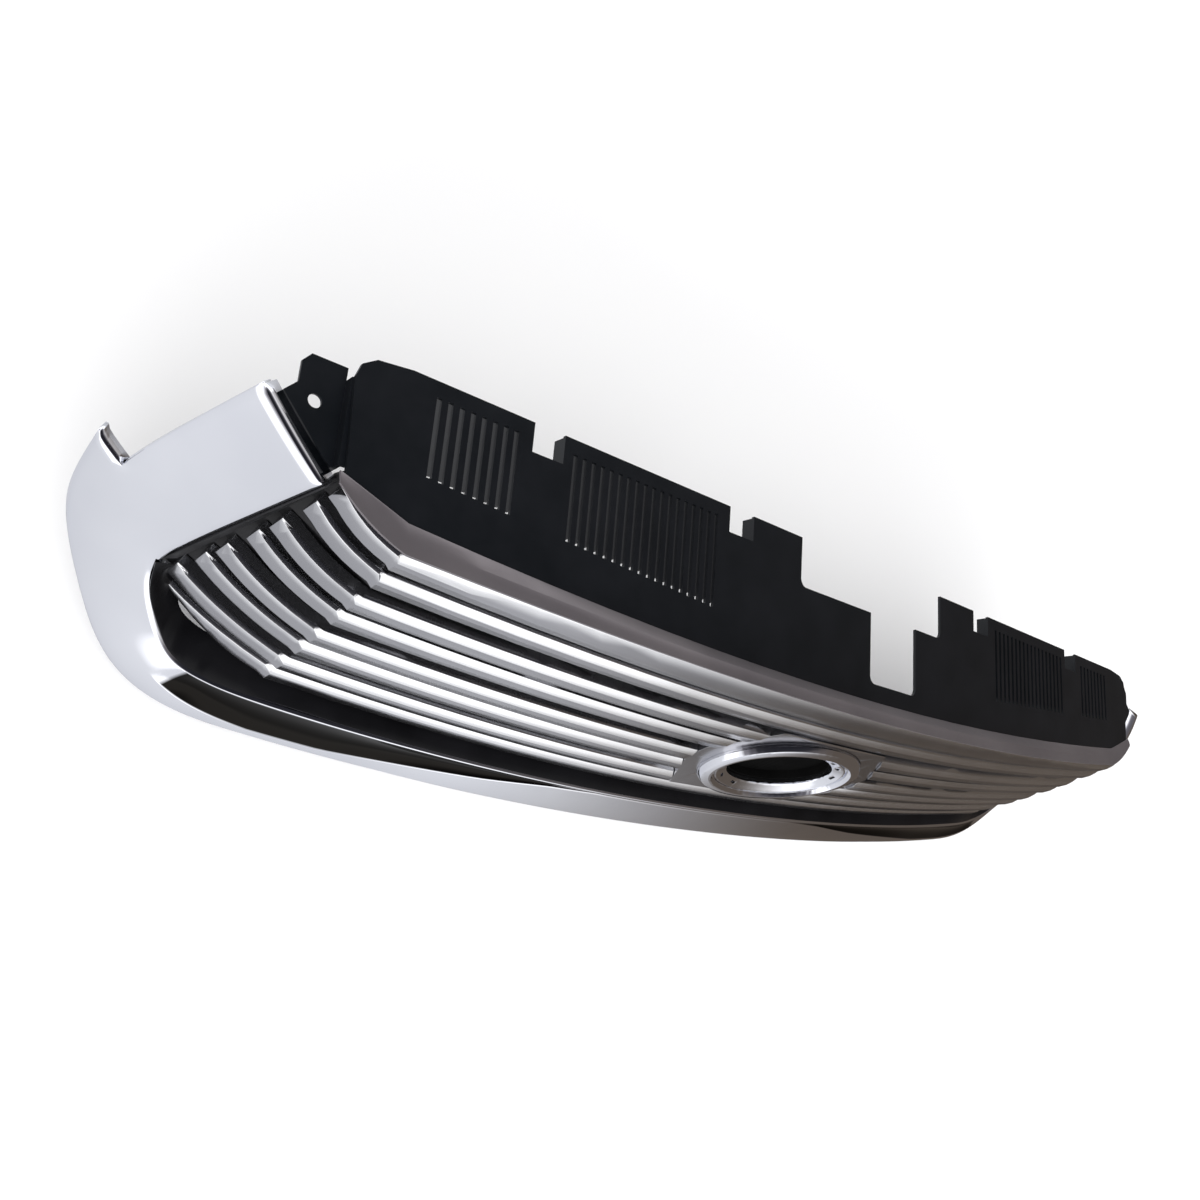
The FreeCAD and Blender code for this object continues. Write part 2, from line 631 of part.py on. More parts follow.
def end_wire(inner, outer, normal, bulge):
    across = outer - inner
    width = across.Length
    across.normalize()
    arch = [(0.0, 0.0), (0.25, 0.75), (0.5, 1.0), (0.75, 0.75), (1.0, 0.0)]
    front = spline([inner + across * width * a + normal * bulge * b for a, b in arch])
    rim = Part.makePolygon([outer, outer - normal * BAND_RETURN, inner - normal * BAND_RETURN, inner])
    return Part.Wire([front] + rim.Edges)


def flip(point):
    return vec(-point.x, point.y, point.z)


left_rows = [(vec(*a), vec(*b)) for a, b in BAND_ROWS]
right_rows = [(flip(a), flip(b)) for a, b in reversed(left_rows[:-1])]
fin = (vec(*WING_JOIN_INNER), vec(*WING_FIN_TIP))
rows = [fin] + left_rows + right_rows + [(flip(fin[0]), flip(fin[1]))]
middles = [(a + b) * 0.5 for a, b in rows]
join_normal = band_normal(fin[0], fin[1], middles[1] - middles[0])
wires = [band_wire(fin[0], fin[1], join_normal, BAND_BULGE)]
for n in range(1, len(rows) - 1):
    normal = band_normal(rows[n][0], rows[n][1], middles[n + 1] - middles[n - 1])
    wires.append(band_wire(rows[n][0], rows[n][1], normal, BAND_BULGE))
wires.append(band_wire(rows[-1][0], rows[-1][1], flip(join_normal), BAND_BULGE))
band = Part.makeLoft(wires, True, False)
wing_rows = [(vec(*a), vec(*b)) for a, b in WING_ROWS]
wing_end = (fin[0], fin[0] + (fin[1] - fin[0]) * WING_JOIN_SHARE)
onward = wing_end[0] - wing_rows[0][0]
wing_normals = [band_normal(a, b, onward) for a, b in wing_rows] + [join_normal, join_normal]
gap = onward.normalize() * -WING_GAP
wing_rows.append((wing_end[0] + gap, wing_end[1] + gap))
wing_wires = [band_wire(a, b, n, BAND_BULGE) for (a, b), n in zip(wing_rows, wing_normals)]
wing = Part.makeLoft(wing_wires, True, False)
top_inner, top_outer = wing_rows[0]
cap_wire = end_wire(top_inner, top_outer, wing_normals[0], BAND_BULGE)
cap = Part.Face(cap_wire).extrude(onward * -BAND_T)
wing = wing.fuse(cap)
save("surround_band", band)
for side, word in SIDES:
    save("surround_wing_" + word, on_side(wing, side))

# ---- side frames: satin strips between the slats' ends and the wings ----
FRAME_T = 2.4


def frame_section(z, share):
    """Flat section at height z; share runs from 0 at the wing's top to 1 at its foot."""
    tip = tip_point(RIDGE_Z - z) + vec(-1.0, 0, 0)
    wing_in = vec(*WING_ROWS[0][0]) + (vec(*WING_JOIN_INNER) - vec(*WING_ROWS[0][0])) * share
    near = vec(tip.x, tip.y + 5.0, z)
    far = vec(wing_in.x + 2.4, wing_in.y - 0.8, z)
    back = vec(0.35 * FRAME_T, 0.93 * FRAME_T, 0)
    return [near, far, far + back, near + back]


FRAME_TOP = -4.0
FRAME_FOOT = -139.0
foot_share = (FRAME_FOOT - WING_ROWS[0][0][2]) / (WING_JOIN_INNER[2] - WING_ROWS[0][0][2])
side_frame = loft([frame_section(FRAME_TOP, 0.0), frame_section(FRAME_FOOT, foot_share)], True)
for side, word in SIDES:
    save("side_frame_" + word, on_side(side_frame, side))

# ---- lower border: gloss black strip from the lowest slat to the band's lip ----
BORDER_ROWS = [((-539, -113.5, -142.5), (-554.5, -117, -139)), ((-536, -115.5, -154), (-550.5, -129, -155)),
               ((-529, -119.5, -165), (-542, -141, -168.5)), ((-524, -134, -174), (-529, -155, -182.5)),
               ((-505, -146.5, -179.5), (-512, -167.5, -191.5)), ((-484, -158, -180.5), (-487.5, -176, -193.5)),
               ((-455, -171.5, -181), (-455, -182, -189.5)), ((-380, -180, -183), (-380, -191.5, -190.5)),
               ((-270, -190, -185.5), (-270, -201.5, -192.5)), ((-135, -198, -187.5), (-135, -208.5, -194.5)),
               ((0, -200.5, -188.5), (0, -210.5, -195.5))]
BORDER_T = 2.2
TUCK = 13.0
TUCK_RISE = 1.0
TUCK_START_X = 515.0


def border_wire(upper, lip):
    down = vec(0, 0, -BORDER_T)
    edge = lip + (upper - lip).normalize() * 0.8
    return closed([upper, edge, edge + down, upper + down])


def tucked(upper):
    """The strip's rear edge runs in under the lowest slat, up to the carrier."""
    share = min(1.0, max(0.0, (TUCK_START_X + upper.x) / (TUCK_START_X - KINK_X)))
    return upper + vec(0, TUCK * share, TUCK_RISE * share)


border_left = [(tucked(vec(*a)), vec(*b)) for a, b in BORDER_ROWS]
border_rows = border_left + [(flip(a), flip(b)) for a, b in reversed(border_left[:-1])]
border = Part.makeLoft([border_wire(a, b) for a, b in border_rows], True, False)
save("lower_border", biggest(border.cut(slats[-2:])))

# ---- brackets that hold the surround to the carrier's rear ----
BRACKET_T = 3.0
BRACKET_X = (60.0, 190.0, 310.0, 425.0)
BRACKET_CORNERS = [(16.4, 6.0), (24.5, 6.0), (24.5, -52.0), (-15.0, -52.0), (-15.0, -36.0), (16.4, -29.0)]


def bracket(x):
    """Gusset in a plane of constant X, laid out from the lowest slat's ridge."""
    ridge = face_point(drop_of(SLAT_COUNT - 1), x / KINK_X)
    corners = [vec(x - BRACKET_T / 2, ridge.y + y, ridge.z + z) for y, z in BRACKET_CORNERS]
    return Part.Face(closed(corners)).extrude(vec(BRACKET_T, 0, 0))


save("surround_brackets", Part.makeCompound([bracket(sign * x) for x in BRACKET_X for sign in (-1, 1)]))
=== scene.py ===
import json
import math

import bmesh
import bpy
from mathutils import Matrix, Vector


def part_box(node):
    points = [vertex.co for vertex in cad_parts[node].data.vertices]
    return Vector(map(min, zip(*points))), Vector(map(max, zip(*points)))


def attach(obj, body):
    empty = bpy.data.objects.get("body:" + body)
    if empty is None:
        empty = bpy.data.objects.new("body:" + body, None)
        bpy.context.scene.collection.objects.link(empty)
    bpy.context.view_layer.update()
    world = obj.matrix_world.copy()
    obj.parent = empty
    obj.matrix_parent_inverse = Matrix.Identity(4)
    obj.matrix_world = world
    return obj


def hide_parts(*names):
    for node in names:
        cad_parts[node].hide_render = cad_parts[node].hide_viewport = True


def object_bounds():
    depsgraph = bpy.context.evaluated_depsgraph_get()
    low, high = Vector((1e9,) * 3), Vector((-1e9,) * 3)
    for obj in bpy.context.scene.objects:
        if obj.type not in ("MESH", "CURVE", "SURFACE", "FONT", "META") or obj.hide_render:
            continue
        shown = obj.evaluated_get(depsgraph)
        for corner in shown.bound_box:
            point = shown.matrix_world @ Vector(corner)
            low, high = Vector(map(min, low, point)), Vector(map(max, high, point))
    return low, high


# Looks for the car front grille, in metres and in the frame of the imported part. The CAD nodes
# keep their meshes and get materials and soft edges. The bright surround is a mesh made here.

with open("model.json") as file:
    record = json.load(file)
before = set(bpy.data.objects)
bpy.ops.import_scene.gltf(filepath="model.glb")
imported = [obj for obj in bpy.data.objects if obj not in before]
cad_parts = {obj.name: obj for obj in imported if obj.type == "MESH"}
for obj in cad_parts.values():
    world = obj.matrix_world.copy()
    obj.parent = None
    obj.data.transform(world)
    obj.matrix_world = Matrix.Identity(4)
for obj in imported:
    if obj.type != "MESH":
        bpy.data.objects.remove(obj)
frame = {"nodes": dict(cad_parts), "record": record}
cad_low, cad_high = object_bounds()
node_slot = {part["node"]: part["material_slot"] for part in frame["record"]["subparts"]}

CAMERA_PLACE = Vector((-0.72241, -0.24015, 0.50609))
CAMERA_RIGHT = Vector((0.754, 0.084, 0.652))
CAMERA_AHEAD = Vector((0.615, 0.260, -0.744))
LENS_MM = 30.09
SENSOR_MM = 36.0
MM = 0.001
FLOOR_SIZE = 12.0
FLOOR_GAP = 1 * MM


# ---- node helpers ----
def noise(tree, scale, detail=3.0, roughness=0.5):
    coord = tree.nodes.new("ShaderNodeTexCoord")
    node = tree.nodes.new("ShaderNodeTexNoise")
    node.inputs["Scale"].default_value = scale
    node.inputs["Detail"].default_value = detail
    node.inputs["Roughness"].default_value = roughness
    tree.links.new(coord.outputs["Object"], node.inputs["Vector"])
    return node.outputs["Fac"]


def ramp(tree, fac, low, high, start=0.3, end=0.7):
    node = tree.nodes.new("ShaderNodeValToRGB")
    node.color_ramp.elements[0].position = start
    node.color_ramp.elements[0].color = (*low, 1)
    node.color_ramp.elements[1].position = end
    node.color_ramp.elements[1].color = (*high, 1)
    tree.links.new(fac, node.inputs["Fac"])
    return node.outputs["Color"]


def span(tree, fac, low, high):
    node = tree.nodes.new("ShaderNodeMapRange")
    node.inputs["To Min"].default_value = low
    node.inputs["To Max"].default_value = high
    tree.links.new(fac, node.inputs["Value"])
    return node.outputs["Result"]


def bump(tree, shader, fac, strength, distance):
    node = tree.nodes.new("ShaderNodeBump")
    node.inputs["Strength"].default_value = strength
    node.inputs["Distance"].default_value = distance
    tree.links.new(fac, node.inputs["Height"])
    tree.links.new(node.outputs["Normal"], shader.inputs["Normal"])


def fade_in(tree, value, low, high):
    """0 below low, 1 above high, with a smooth step between them."""
    node = tree.nodes.new("ShaderNodeMapRange")
    node.interpolation_type = "SMOOTHSTEP"
    node.inputs["From Min"].default_value = low
    node.inputs["From Max"].default_value = high
    tree.links.new(value, node.inputs["Value"])
    return node.outputs["Result"]


def mix_colors(tree, factor, first, second):
    """second is a node's output or a plain colour."""
    node = tree.nodes.new("ShaderNodeMix")
    node.data_type = "RGBA"
    color_inputs = [socket for socket in node.inputs if socket.type == "RGBA"]
    color_outputs = [socket for socket in node.outputs if socket.type == "RGBA"]
    tree.links.new(factor, node.inputs["Factor"])
    tree.links.new(first, color_inputs[0])
    if isinstance(second, tuple):
        color_inputs[1].default_value = (*second, 1)
    else:
        tree.links.new(second, color_inputs[1])
    return color_outputs[0]


# ---- camera, floor and light ----
def make_camera():
    data = bpy.data.cameras.new("camera")
    data.lens = LENS_MM
    data.sensor_width = SENSOR_MM
    data.clip_start = 0.01
    data.clip_end = 100.0
    camera = bpy.data.objects.new("camera", data)
    bpy.context.scene.collection.objects.link(camera)
    ahead = CAMERA_AHEAD.normalized()
    right = CAMERA_RIGHT - CAMERA_RIGHT.dot(ahead) * ahead
    right.normalize()
    up = right.cross(ahead)
    turn = Matrix((right, up, -ahead)).transposed()
    camera.matrix_world = Matrix.Translation(CAMERA_PLACE) @ turn.to_4x4()
    bpy.context.scene.camera = camera


def make_floor():
    bpy.ops.mesh.primitive_plane_add(size=FLOOR_SIZE, location=(0, 0, cad_low.z - FLOOR_GAP))
    floor = bpy.context.object
    floor.name = "floor"
    floor.visible_glossy = False
    mat = bpy.data.materials.new("pale_floor")
    mat.use_nodes = True
    shader = mat.node_tree.nodes["Principled BSDF"]
    shader.inputs["Base Color"].default_value = (0.93, 0.93, 0.93, 1)
    shader.inputs["Roughness"].default_value = 0.9
    shader.inputs["Specular IOR Level"].default_value = 0.1
    floor.data.materials.append(mat)


SUN_ENERGY = 2.6
SUN_SPREAD = 1.5
SUN_TURN = (0.15, -0.25, 0.0)
FRONT_ENERGY = 20
FRONT_SIZE = (2.2, 1.0)
FRONT_PLACE = Vector((-0.4, -2.0, 0.7))
FRONT_TARGET = Vector((0, -0.1, -0.15))

WORLD_GROUND = (0.66, 0.67, 0.71)
WORLD_ZENITH = (0.015, 0.015, 0.02)
WORLD_SIDE = (0.11, 0.09, 0.075)        # dark brown surroundings on the +X side
SIDE_RANGE = (0.45, 0.82)               # X of the direction in which they fade in
# share of the way up from straight down, and colour
WORLD_STOPS = (
    (0.25, (0.76, 0.77, 0.80)),
    (0.45, (0.84, 0.85, 0.88)),
    (0.52, (1.50, 1.50, 1.52)),
    (0.70, (1.50, 1.50, 1.52)),
    (0.80, (0.22, 0.21, 0.23)),
    (0.90, (0.03, 0.03, 0.035)),
)


def add_light(name, kind, energy):
    """A light that does not show in the plating; only the world does."""
    data = bpy.data.lights.new(name, kind)
    data.energy = energy
    light = bpy.data.objects.new(name, data)
    bpy.context.scene.collection.objects.link(light)
    light.visible_glossy = False
    return light


def soft_sun():
    """Even light from a wide soft source above."""
    light = add_light("soft_sun", "SUN", SUN_ENERGY)
    light.data.angle = SUN_SPREAD
    light.rotation_euler = SUN_TURN


def front_light():
    """Weak fill from the front."""
    light = add_light("front", "AREA", FRONT_ENERGY)
    light.data.shape = "RECTANGLE"
    light.data.size, light.data.size_y = FRONT_SIZE
    light.location = FRONT_PLACE
    light.rotation_mode = "QUATERNION"
    light.rotation_quaternion = (FRONT_TARGET - FRONT_PLACE).to_track_quat("-Z", "Y")


def make_world():
    """Bright walls at the horizon, a dark ceiling, a grey ground and a dark side."""
    world = bpy.data.worlds.new("studio")
    bpy.context.scene.world = world
    world.use_nodes = True
    tree = world.node_tree
    background = tree.nodes["Background"]
    coord = tree.nodes.new("ShaderNodeTexCoord")
    split = tree.nodes.new("ShaderNodeSeparateXYZ")
    tree.links.new(coord.outputs["Generated"], split.inputs[0])
    height = tree.nodes.new("ShaderNodeMapRange")
    height.inputs["From Min"].default_value = -1.0
    tree.links.new(split.outputs["Z"], height.inputs["Value"])
    walls = tree.nodes.new("ShaderNodeValToRGB")
    tree.links.new(height.outputs["Result"], walls.inputs["Fac"])
    stops = walls.color_ramp.elements
    stops[0].color = (*WORLD_GROUND, 1)
    stops[1].color = (*WORLD_ZENITH, 1)
    for place, color in WORLD_STOPS:
        stops.new(place).color = (*color, 1)
    side = fade_in(tree, split.outputs["X"], *SIDE_RANGE)
    both = mix_colors(tree, side, walls.outputs["Color"], WORLD_SIDE)
    tree.links.new(both, background.inputs["Color"])


# ---- materials ----
def new_material(name):
    mat = bpy.data.materials.new(name)
    mat.use_nodes = True
    return mat, mat.node_tree, mat.node_tree.nodes["Principled BSDF"]


def chrome():
    """Bright plating; the shade attribute paints a dark reflection into the recess under the lip."""
    mat, tree, shader = new_material("chrome")
    shader.inputs["Metallic"].default_value = 1.0
    tint = ramp(tree, noise(tree, 9.0), (0.80, 0.81, 0.86), (0.88, 0.89, 0.93))
    shade = tree.nodes.new("ShaderNodeAttribute")
    shade.attribute_name = "shade"
    # painted dark reflection: near-black base colour where the shade attribute is 1
    color = mix_colors(tree, shade.outputs["Fac"], tint, (0.012, 0.011, 0.010))
    tree.links.new(color, shader.inputs["Base Color"])
    tree.links.new(span(tree, noise(tree, 60.0), 0.06, 0.12), shader.inputs["Roughness"])
    bump(tree, shader, noise(tree, 14.0, 2.0), 0.06, 0.002)
    return mat


def satin_silver():
    """Satin plating; faces that look level or downwards get a greyer colour, which is painted shade."""
    mat, tree, shader = new_material("satin_silver")
    shader.inputs["Metallic"].default_value = 1.0
    bright = ramp(tree, noise(tree, 12.0), (0.80, 0.805, 0.82), (0.88, 0.88, 0.89))
    # painted shade: a greyer copy of the plating for faces that look level or downwards
    painted_shade_tint = ramp(tree, noise(tree, 12.0), (0.40, 0.40, 0.42), (0.48, 0.48, 0.50))
    geometry = tree.nodes.new("ShaderNodeNewGeometry")
    split = tree.nodes.new("ShaderNodeSeparateXYZ")
    tree.links.new(geometry.outputs["Normal"], split.inputs[0])
    facing_up = fade_in(tree, split.outputs["Z"], 0.30, 0.48)
    tree.links.new(mix_colors(tree, facing_up, painted_shade_tint, bright), shader.inputs["Base Color"])
    tree.links.new(span(tree, noise(tree, 90.0), 0.17, 0.25), shader.inputs["Roughness"])
    bump(tree, shader, noise(tree, 500.0, 2.0), 0.04, 0.0003)
    return mat


def gloss_black():
    """Piano black of the strip under the slats."""
    mat, tree, shader = new_material("gloss_black")
    shader.inputs["Specular IOR Level"].default_value = 0.10
    tint = ramp(tree, noise(tree, 20.0), (0.003, 0.003, 0.0035), (0.006, 0.006, 0.007))
    tree.links.new(tint, shader.inputs["Base Color"])
    tree.links.new(span(tree, noise(tree, 45.0), 0.10, 0.18), shader.inputs["Roughness"])
    bump(tree, shader, noise(tree, 220.0, 2.0), 0.04, 0.0004)
    return mat


def rail_grey():
    """Smoked metallic coat of the top rail."""
    mat, tree, shader = new_material("rail_grey")
    shader.inputs["Metallic"].default_value = 0.6
    tint = ramp(tree, noise(tree, 8.0), (0.16, 0.145, 0.155), (0.22, 0.20, 0.21))
    tree.links.new(tint, shader.inputs["Base Color"])
    tree.links.new(span(tree, noise(tree, 70.0), 0.30, 0.40), shader.inputs["Roughness"])
    bump(tree, shader, noise(tree, 900.0, 2.0), 0.05, 0.0002)
    return mat


def satin_black(name, low, high, roughness, specular=0.35):
    """Grained black moulding, from a satin shield to the matte floor of the badge recess."""
    mat, tree, shader = new_material(name)
    shader.inputs["Specular IOR Level"].default_value = specular
    tint = ramp(tree, noise(tree, 30.0), low, high)
    tree.links.new(tint, shader.inputs["Base Color"])
    rough = span(tree, noise(tree, 120.0), *roughness)
    tree.links.new(rough, shader.inputs["Roughness"])
    bump(tree, shader, noise(tree, 1400.0, 2.0), 0.12, 0.0002)
    return mat


def zinc():
    """Zinc plating of the screws and push nuts."""
    mat, tree, shader = new_material("zinc")
    shader.inputs["Metallic"].default_value = 1.0
    tint = ramp(tree, noise(tree, 150.0), (0.50, 0.50, 0.47), (0.66, 0.66, 0.64))
    tree.links.new(tint, shader.inputs["Base Color"])
    tree.links.new(span(tree, noise(tree, 300.0), 0.28, 0.45), shader.inputs["Roughness"])
    bump(tree, shader, noise(tree, 900.0, 2.0), 0.10, 0.0002)
    return mat


materials = {
    "chrome": chrome(),
    "satin_silver": satin_silver(),
    "gloss_black": gloss_black(),
    "rail_grey": rail_grey(),
    "shield_black": satin_black(
        "shield_black", (0.0035, 0.0045, 0.006), (0.006, 0.007, 0.009), roughness=(0.34, 0.44)),
    "carrier_black": satin_black(
        "carrier_black", (0.010, 0.010, 0.011), (0.018, 0.018, 0.020), roughness=(0.45, 0.6)),
    "deep_black": satin_black(
        "deep_black", (0.002, 0.002, 0.002), (0.004, 0.004, 0.004), roughness=(0.8, 0.9), specular=0.04),
    "zinc": zinc(),
}


WELD_GAP = 0.01 * MM
BEVEL_WIDTH = 0.4 * MM
BEVEL_ANGLE = 0.22          # only the faint facets of curved faces stay unbevelled


def finish_node(node):
    """Soft edges and smooth curves on a CAD node, and its slot's material."""
    thing = frame["nodes"][node]
    thing.data.materials.clear()
    thing.data.materials.append(materials[node_slot[node]])
    weld = thing.modifiers.new("weld", "WELD")
    weld.merge_threshold = WELD_GAP
    edge = thing.modifiers.new("edge", "BEVEL")
    edge.width = BEVEL_WIDTH
    edge.segments = 2
    edge.limit_method = "ANGLE"
    edge.angle_limit = BEVEL_ANGLE
    edge.harden_normals = True


# ---- bright surround: one smooth sheet from wing to wing ----
# Stations are numbered from the wing's top to the middle of the band. Each has the inner and the
# outer edge of the left half, in millimetres from the middle of the sight shield's rear top edge.
shield_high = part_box("sight_shield")[1]
SHIELD_EDGE = Vector((0, shield_high.y, shield_high.z))
WING_STATIONS = [((-512, -85, -8.5), (-553, -39, -7.5)), ((-530, -97, -65), (-573, -55, -56))]
JOIN_STATION = ((-549, -110, -125), (-611, -60, -101))
BAND_STATIONS = [((-556, -117, -142), (-613, -78, -152)), ((-552, -129, -157), (-604, -97, -178)),
                 ((-543, -142, -170), (-585, -125, -202)), ((-530, -156, -184), (-566, -157, -215)),
                 ((-513, -169, -192), (-541, -180, -225)), ((-488, -177, -193), (-505, -197, -228)),
                 ((-455, -183.5, -191), (-455, -204.5, -228.5)), ((-380, -193, -191.5), (-380, -213, -231)),
                 ((-270, -203, -194), (-270, -223, -235)), ((-135, -210, -196), (-135, -230, -238)),
                 ((0, -212, -197), (0, -232, -239))]
SKIPPED_SPANS = len(WING_STATIONS)      # the fin starts after these
JOIN_SHARE = 0.72           # the wing above the fin is this much narrower than the band
OUTER_INSET = 2.4 * MM      # room for the rolled outer edge inside the CAD part's bounds
STEPS_PER_SPAN = 8
SKIPPED_ROWS = SKIPPED_SPANS * STEPS_PER_SPAN

# columns across the sheet: along the lip, inside the recess and outside it
LIP_SHARES = [0.0, 0.015, 0.03]
RECESS_SHARES = [0.06, 0.16, 0.30, 0.45, 0.60, 0.75, 0.88, 0.96, 1.0]
FACE_SHARES = [0.04, 0.12, 0.24, 0.37, 0.50, 0.62, 0.74, 0.85, 0.93, 0.97, 1.0]
RECESS_FIRST = len(LIP_SHARES)
COLUMN_COUNT = len(LIP_SHARES) + len(RECESS_SHARES) + len(FACE_SHARES)
LAST_COLUMN = COLUMN_COUNT - 1
JOIN_COLUMN = RECESS_FIRST + len(RECESS_SHARES) + FACE_SHARES.index(0.50)
SHARE_SLACK = 1e-6          # lets a column that lies on the join count as inside it

PLAIN_REACH = 0.44          # the recess is shallower where it reaches less far than this
# station, and how far across the sheet the recess and its painted dark reflection reach there
REACH = [(0.0, 0.44), (6.4, 0.44), (7.4, 0.52), (9.0, 0.73), (9.8, 0.70), (10.4, 0.52),
         (11.1, 0.32), (11.6, 0.12), (12.0, 0.05), (20.0, 0.05)]
RECESS_START = 7.35
RECESS_FADE = (11.6, 12.1)
RECESS_EASE = 0.5           # stations over which the recess deepens, either side of its start

# heights across the sheet
CROWN = 3.0 * MM
RECESS_DEPTH = 4.0 * MM
INNER_ROLL = 1.2 * MM
OUTER_ROLL = 2.0 * MM
OUTER_ROLL_START = 0.95
WALL = 1.8 * MM
FLANGE_STEPS = ((0.8 * MM, 0.9 * MM), (1.2 * MM, 2.6 * MM))     # outwards, backwards
FLANGE_OUT = 1.2 * MM
FLANGE_DEPTH = 9.0 * MM
WING_TOP_DEPTH = 13.0 * MM
OUTER_SIDE = Vector((0, -1, 0.3))       # with the point's own X, points away from the grille


def mirror_x(point):
    return Vector((-point.x, point.y, point.z))


def station_of(row, count):
    """Rows run from one wing's top to the other's; both halves count from their own wing."""
    return min(row, count - 1 - row) / STEPS_PER_SPAN


def reach_at(station):
    for (s0, r0), (s1, r1) in zip(REACH, REACH[1:]):
        if station <= s1:
            return r0 + (r1 - r0) * (station - s0) / (s1 - s0)
    return REACH[-1][1]


def shares_at(station):
    """Columns follow the lip, the edge of the recess and the outer edge."""
    lip = LIP_SHARES[-1]
    reach = reach_at(station)
    inside = [lip + (reach - lip) * u for u in RECESS_SHARES]
    return LIP_SHARES + inside + [reach + (1.0 - reach) * u for u in FACE_SHARES]


def smooth_line(points):
    """Uniform cubic B-spline with its ends held, sampled evenly in each span."""
    held = [2 * points[0] - points[1]] + points + [2 * points[-1] - points[-2]]
    line = []
    for n in range(len(points) - 1):
        a, b, c, d = held[n:n + 4]
        for step in range(STEPS_PER_SPAN):
            u = step / STEPS_PER_SPAN
            line.append((a * (1 - u) ** 3 + b * (3 * u ** 3 - 6 * u ** 2 + 4)
                         + c * (-3 * u ** 3 + 3 * u ** 2 + 3 * u + 1) + d * u ** 3) / 6)
    return line + [points[-1]]


def surround_edges():
    """Inner edge, the line that the wings' outer edge runs into, and the outer edge from fin to fin."""
    def place(point):
        return Vector(point) * MM + SHIELD_EDGE

    left = [(place(a), place(b)) for a, b in WING_STATIONS + [JOIN_STATION] + BAND_STATIONS]
    inner = [a for a, b in left]
    band = left[SKIPPED_SPANS:]
    shoulder = [b for a, b in left[:SKIPPED_SPANS]] + [a + (b - a) * JOIN_SHARE for a, b in band]
    outer = [b + (a - b).normalized() * OUTER_INSET for a, b in band]
    lines = [points + [mirror_x(p) for p in reversed(points[:-1])] for points in (inner, shoulder, outer)]
    return [smooth_line(points) for points in lines]


def surround_grid():
    """Rows of points across the sheet; the columns of the fin are empty along the wings."""
    inner_line, shoulder_line, outer_line = surround_edges()
    count = len(inner_line)
    columns = [[None] * count for n in range(COLUMN_COUNT)]
    shares = []
    for i in range(count):
        row = shares_at(station_of(i, count))
        shares.append(row)
        inner, shoulder = inner_line[i], shoulder_line[i]
        on_band = SKIPPED_ROWS <= i <= count - 1 - SKIPPED_ROWS
        for j, share in enumerate(row):
            on_wing = j <= JOIN_COLUMN and share <= JOIN_SHARE + SHARE_SLACK
            if on_wing or (on_band and share <= JOIN_SHARE):
                columns[j][i] = inner + (shoulder - inner) * (share / JOIN_SHARE)
            elif on_band:
                beyond = (share - JOIN_SHARE) / (1.0 - JOIN_SHARE)
                columns[j][i] = shoulder + (outer_line[i - SKIPPED_ROWS] - shoulder) * beyond
    return columns, shares


def smoothstep(value, low, high):
    t = min(1.0, max(0.0, (value - low) / (high - low)))
    return t * t * (3 - 2 * t)


def recess_shade(station):
    """1 where the recess gets its painted dark reflection, fading where it runs out."""
    if station < RECESS_START:
        return 0.0
    return 1.0 - smoothstep(station, *RECESS_FADE)


def surface_offset(share, column, station):
    """Height of the sheet above the straight line between its edges."""
    crown = 4.0 * CROWN * share * (1.0 - share)
    hollow = 0.0
    turn = column - RECESS_FIRST
    if 0 <= turn < len(RECESS_SHARES):
        start = smoothstep(station, RECESS_START - RECESS_EASE, RECESS_START + RECESS_EASE)
        narrowing = min(1.0, reach_at(station) / PLAIN_REACH)
        hollow = RECESS_DEPTH * math.sin(math.pi * RECESS_SHARES[turn]) * start * narrowing
    inner_roll = INNER_ROLL * (1 - smoothstep(share, 0.0, LIP_SHARES[-1]))
    outer_roll = OUTER_ROLL * smoothstep(share, OUTER_ROLL_START, 1.0)
    return crown - hollow - inner_roll - outer_roll


def sheet_normal(columns, i, j):
    """Normal of the flat sheet at row i of column j, away from the grille."""
    column = columns[j]
    ahead = i + 1 if i + 1 < len(column) and column[i + 1] is not None else i
    behind = i - 1 if i > 0 and column[i - 1] is not None else i
    wide = columns[j + 1][i] if j < LAST_COLUMN and columns[j + 1][i] is not None else column[i]
    near = columns[j - 1][i] if j > 0 else column[i]
    normal = (column[ahead] - column[behind]).cross(wide - near).normalized()
    away = Vector((column[i].x, OUTER_SIDE.y, OUTER_SIDE.z))
    return -normal if normal.dot(away) < 0 else normal


def edge_direction(columns, i, j, inside):
    """Unit vector out of the sheet at an edge point; inside is the step (row, column) inwards."""
    return (columns[j][i] - columns[j + inside[1]][i + inside[0]]).normalized()


def border_rows(columns):
    """Each edge of the sheet: its points, the step inwards from them and the flange's depth."""
    count = len(columns[0])
    far = count - 1
    borders = [([(i, 0) for i in range(count)], (0, 1), FLANGE_DEPTH),
               ([(i, LAST_COLUMN) for i in range(count) if columns[LAST_COLUMN][i] is not None],
                (0, -1), FLANGE_DEPTH)]
    for rows in (range(SKIPPED_ROWS + 1), range(far - SKIPPED_ROWS, count)):
        borders.append(([(i, JOIN_COLUMN) for i in rows], (0, -1), FLANGE_DEPTH))
    for i, inward in ((0, 1), (far, -1)):
        borders.append(([(i, j) for j in range(JOIN_COLUMN + 1)], (inward, 0), WING_TOP_DEPTH))
    for i, inward in ((SKIPPED_ROWS, 1), (far - SKIPPED_ROWS, -1)):
        fin_end = [(i, j) for j in range(JOIN_COLUMN, LAST_COLUMN + 1)]
        borders.append((fin_end, (inward, 0), FLANGE_DEPTH))
    return borders


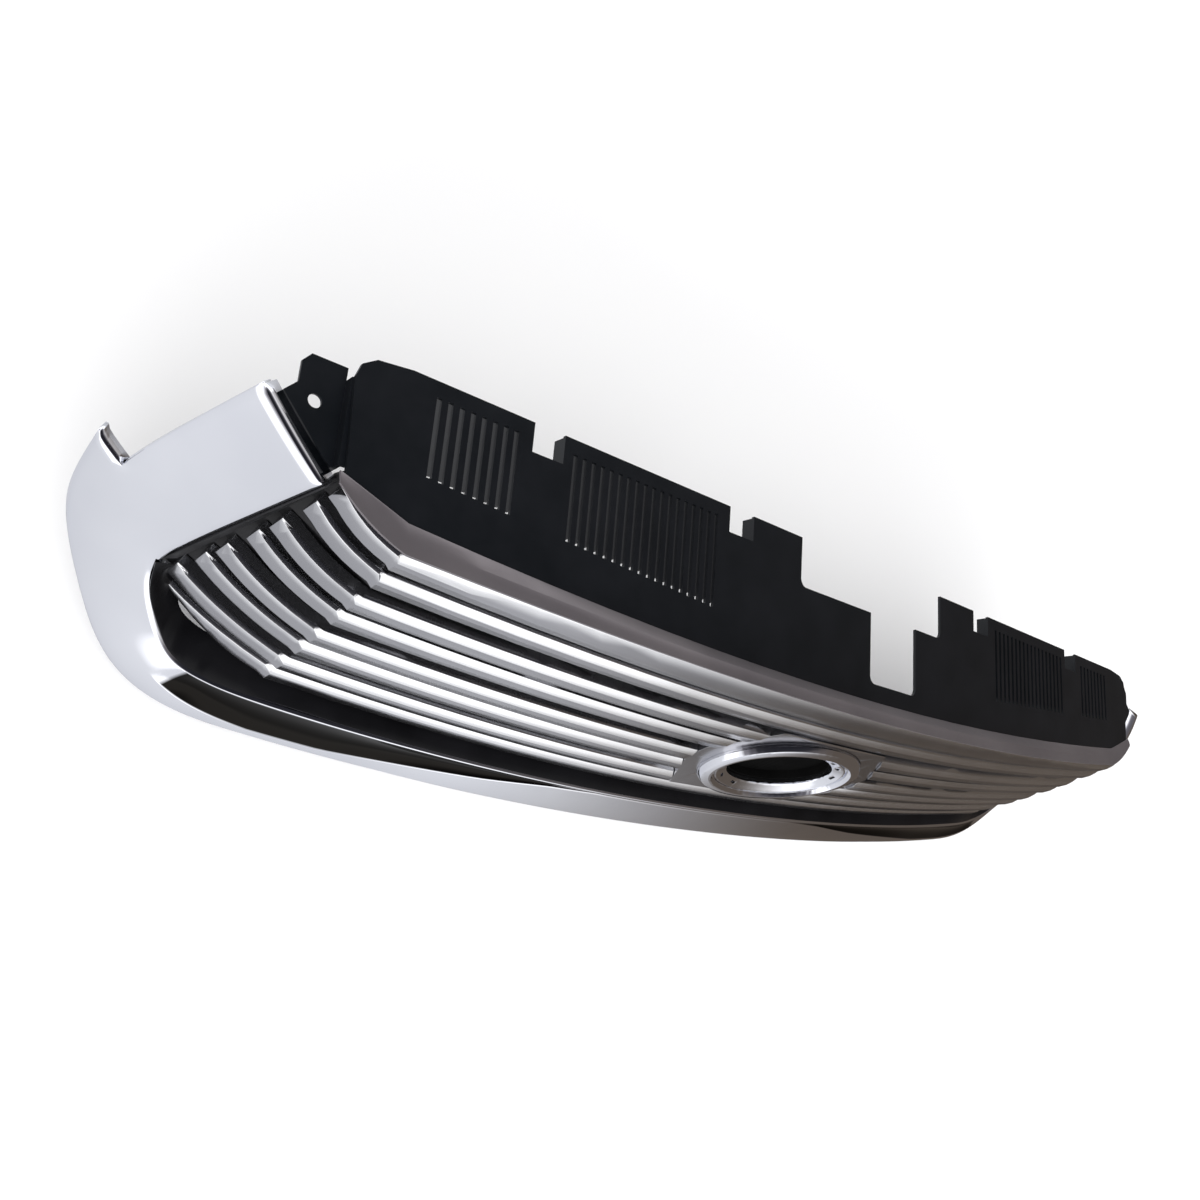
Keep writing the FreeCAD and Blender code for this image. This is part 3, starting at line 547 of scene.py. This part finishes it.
def surround_mesh():
    """Points, faces and the shade of each point: the crowned sheet and its return flanges."""
    columns, shares = surround_grid()
    count = len(columns[0])
    places = [(i, j) for i in range(count) for j in range(COLUMN_COUNT) if columns[j][i] is not None]
    normals = {(i, j): sheet_normal(columns, i, j) for i, j in places}
    recess = range(RECESS_FIRST, RECESS_FIRST + len(RECESS_SHARES) - 1)
    verts, shades, faces, index = [], [], [], {}
    for i, j in places:
        station = station_of(i, count)
        index[i, j] = len(verts)
        verts.append(columns[j][i] + normals[i, j] * surface_offset(shares[i][j], j, station))
        # painted dark reflection on the recess columns
        shades.append(recess_shade(station) if j in recess else 0.0)
    for i in range(count - 1):
        for j in range(LAST_COLUMN):
            corners = [(i, j), (i + 1, j), (i + 1, j + 1), (i, j + 1)]
            if all(corner in index for corner in corners):
                faces.append([index[corner] for corner in corners])
    for points, inside, depth in border_rows(columns):
        rows = [[index[point] for point in points]]
        for out, back in FLANGE_STEPS + ((FLANGE_OUT, depth),):
            row = []
            for i, j in points:
                outwards = edge_direction(columns, i, j, inside) * out
                row.append(len(verts))
                verts.append(verts[index[i, j]] + outwards - normals[i, j] * back)
                shades.append(0.0)
            rows.append(row)
        for first, second in zip(rows, rows[1:]):
            for n in range(len(first) - 1):
                faces.append([first[n], first[n + 1], second[n + 1], second[n]])
    return verts, faces, shades


def make_surround():
    verts, faces, shades = surround_mesh()
    mesh = bpy.data.meshes.new("surround")
    mesh.from_pydata(verts, [], faces)
    shade = mesh.attributes.new("shade", "FLOAT", "POINT")
    shade.data.foreach_set("value", shades)
    build = bmesh.new()
    build.from_mesh(mesh)
    bmesh.ops.recalc_face_normals(build, faces=build.faces)
    build.to_mesh(mesh)
    build.free()
    mesh.shade_smooth()
    mesh.materials.append(materials["chrome"])
    surround = bpy.data.objects.new("surround", mesh)
    bpy.context.scene.collection.objects.link(surround)
    shell = surround.modifiers.new("wall", "SOLIDIFY")
    shell.thickness = WALL
    shell.offset = -1.0
    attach(surround, "root")
    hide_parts("surround_band", "surround_wing_left", "surround_wing_right")


bpy.context.scene.view_settings.view_transform = "Standard"
make_camera()
make_floor()
make_world()
soft_sun()
front_light()
for node in frame["nodes"]:
    finish_node(node)
make_surround()
